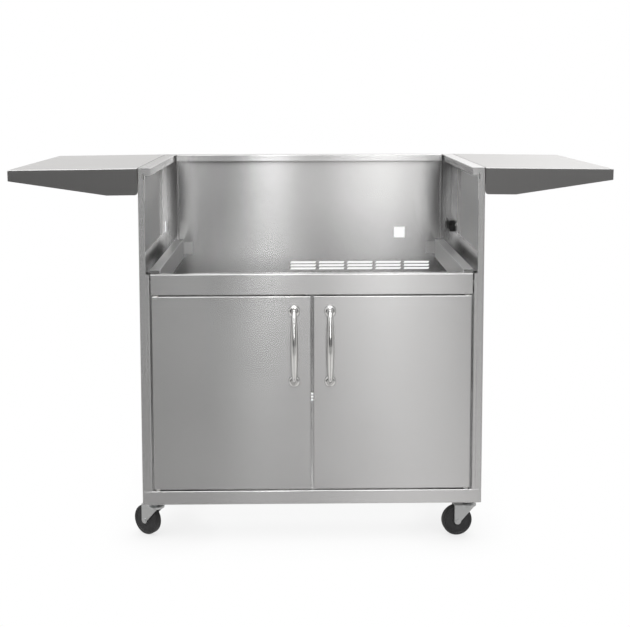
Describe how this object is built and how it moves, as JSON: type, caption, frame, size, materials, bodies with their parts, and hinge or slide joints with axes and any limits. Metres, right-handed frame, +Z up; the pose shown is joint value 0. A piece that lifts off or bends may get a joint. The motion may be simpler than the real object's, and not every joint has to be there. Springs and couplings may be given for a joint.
{
  "type": "grill cart with storage",
  "caption": "Wheeled stainless cart with an open bay for a drop-in grill, a storage cabinet behind hinged doors and side shelves that fold down.",
  "frame": {"origin": "on the floor, under the middle of the object's bounding box", "axes": "+X to the right of a person facing the doors, +Y towards the back, +Z up"},
  "size_m": [1.4634, 0.5996, 0.9361],
  "materials": {
    "brushed_stainless": "brushed stainless sheet, grain upright on the walls and doors",
    "polished_handle": "polished chrome",
    "black_wheel": "matt black moulded wheel",
    "zinc_plated_steel": "zinc-plated pressed steel, satin",
    "plain_steel": "plain steel, satin",
    "black_plastic": "moulded black plastic",
    "white_nylon": "natural nylon"
  },
  "bodies": {
    "cart": {"base_tray": "brushed_stainless", "base_corner_plates": "plain_steel", "back_panel": "brushed_stainless", "back_top_rim": "brushed_stainless", "front_rail": "brushed_stainless", "door_pivot_pins": "zinc_plated_steel", "magnetic_catches": "black_plastic", "hose_bushing": "black_plastic", "frame_rivets": "plain_steel", "caster_stems": "zinc_plated_steel", "caster_nuts": "zinc_plated_steel", "left_side_panel": "brushed_stainless", "left_side_liner": "brushed_stainless", "left_shelf_band": "brushed_stainless", "left_hinge_stile": "brushed_stainless", "left_side_rim": "brushed_stainless", "left_grill_rail": "brushed_stainless", "left_shelf_bracket": "plain_steel", "left_shelf_hinge_rod": "plain_steel", "right_side_panel": "brushed_stainless", "right_side_liner": "brushed_stainless", "right_shelf_band": "brushed_stainless", "right_hinge_stile": "brushed_stainless", "right_side_rim": "brushed_stainless", "right_grill_rail": "brushed_stainless", "right_shelf_bracket": "plain_steel", "right_shelf_hinge_rod": "plain_steel"},
    "left_door": {"left_door_panel": "brushed_stainless", "left_door_liner": "brushed_stainless", "left_door_bushes": "white_nylon", "left_door_strike": "plain_steel", "left_door_handle": "polished_handle", "left_handle_rosettes": "polished_handle", "left_handle_screws": "zinc_plated_steel"},
    "left_shelf": {"left_side_shelf": "brushed_stainless", "left_shelf_hinge_channel": "brushed_stainless", "left_shelf_stiffener": "brushed_stainless"},
    "right_door": {"right_door_panel": "brushed_stainless", "right_door_liner": "brushed_stainless", "right_door_bushes": "white_nylon", "right_door_strike": "plain_steel", "right_door_handle": "polished_handle", "right_handle_rosettes": "polished_handle", "right_handle_screws": "zinc_plated_steel"},
    "right_shelf": {"right_side_shelf": "brushed_stainless", "right_shelf_hinge_channel": "brushed_stainless", "right_shelf_stiffener": "brushed_stainless"},
    "front_left_caster": {"front_left_fork": "zinc_plated_steel", "front_left_axle": "zinc_plated_steel"},
    "front_left_wheel": {"front_left_wheel": "black_wheel"},
    "front_right_caster": {"front_right_fork": "zinc_plated_steel", "front_right_axle": "zinc_plated_steel"},
    "front_right_wheel": {"front_right_wheel": "black_wheel"},
    "rear_left_caster": {"rear_left_fork": "zinc_plated_steel", "rear_left_axle": "zinc_plated_steel"},
    "rear_left_wheel": {"rear_left_wheel": "black_wheel"},
    "rear_right_caster": {"rear_right_fork": "zinc_plated_steel", "rear_right_axle": "zinc_plated_steel"},
    "rear_right_wheel": {"rear_right_wheel": "black_wheel"}
  },
  "joints": [
    {"name": "left_door_hinge", "type": "hinge", "parent": "cart", "child": "left_door", "pos_m": [-0.3815, -0.25225, 0.3805], "axis": [0, 0, -1], "range_deg": [0, 110]},
    {"name": "left_shelf_fold", "type": "hinge", "parent": "cart", "child": "left_shelf", "pos_m": [-0.4278, 0.01975, 0.8782], "axis": [0, -1, 0], "range_deg": [0, 89]},
    {"name": "right_door_hinge", "type": "hinge", "parent": "cart", "child": "right_door", "pos_m": [0.3815, -0.25225, 0.3805], "axis": [0, 0, 1], "range_deg": [0, 110]},
    {"name": "right_shelf_fold", "type": "hinge", "parent": "cart", "child": "right_shelf", "pos_m": [0.4278, 0.01975, 0.8782], "axis": [0, 1, 0], "range_deg": [0, 89]},
    {"name": "front_left_swivel", "type": "hinge", "parent": "cart", "child": "front_left_caster", "pos_m": [-0.3945, -0.20825, 0.0805], "axis": [0, 0, 1], "continuous": true},
    {"name": "front_left_roll", "type": "hinge", "parent": "front_left_caster", "child": "front_left_wheel", "pos_m": [-0.41785, -0.1919, 0.038], "axis": [-0.5736, -0.8192, 0], "continuous": true},
    {"name": "front_right_swivel", "type": "hinge", "parent": "cart", "child": "front_right_caster", "pos_m": [0.3945, -0.20825, 0.0805], "axis": [0, 0, 1], "continuous": true},
    {"name": "front_right_roll", "type": "hinge", "parent": "front_right_caster", "child": "front_right_wheel", "pos_m": [0.36621, -0.21172, 0.038], "axis": [0.1219, -0.9925, 0], "continuous": true},
    {"name": "rear_left_swivel", "type": "hinge", "parent": "cart", "child": "rear_left_caster", "pos_m": [-0.3945, 0.24775, 0.0805], "axis": [0, 0, 1], "continuous": true},
    {"name": "rear_left_roll", "type": "hinge", "parent": "rear_left_caster", "child": "rear_left_wheel", "pos_m": [-0.38025, 0.22307, 0.038], "axis": [0.866, 0.5, 0], "continuous": true},
    {"name": "rear_right_swivel", "type": "hinge", "parent": "cart", "child": "rear_right_caster", "pos_m": [0.3945, 0.24775, 0.0805], "axis": [0, 0, 1], "continuous": true},
    {"name": "rear_right_roll", "type": "hinge", "parent": "rear_right_caster", "child": "rear_right_wheel", "pos_m": [0.37618, 0.22592, 0.038], "axis": [0.766, -0.6428, 0], "continuous": true}
  ]
}
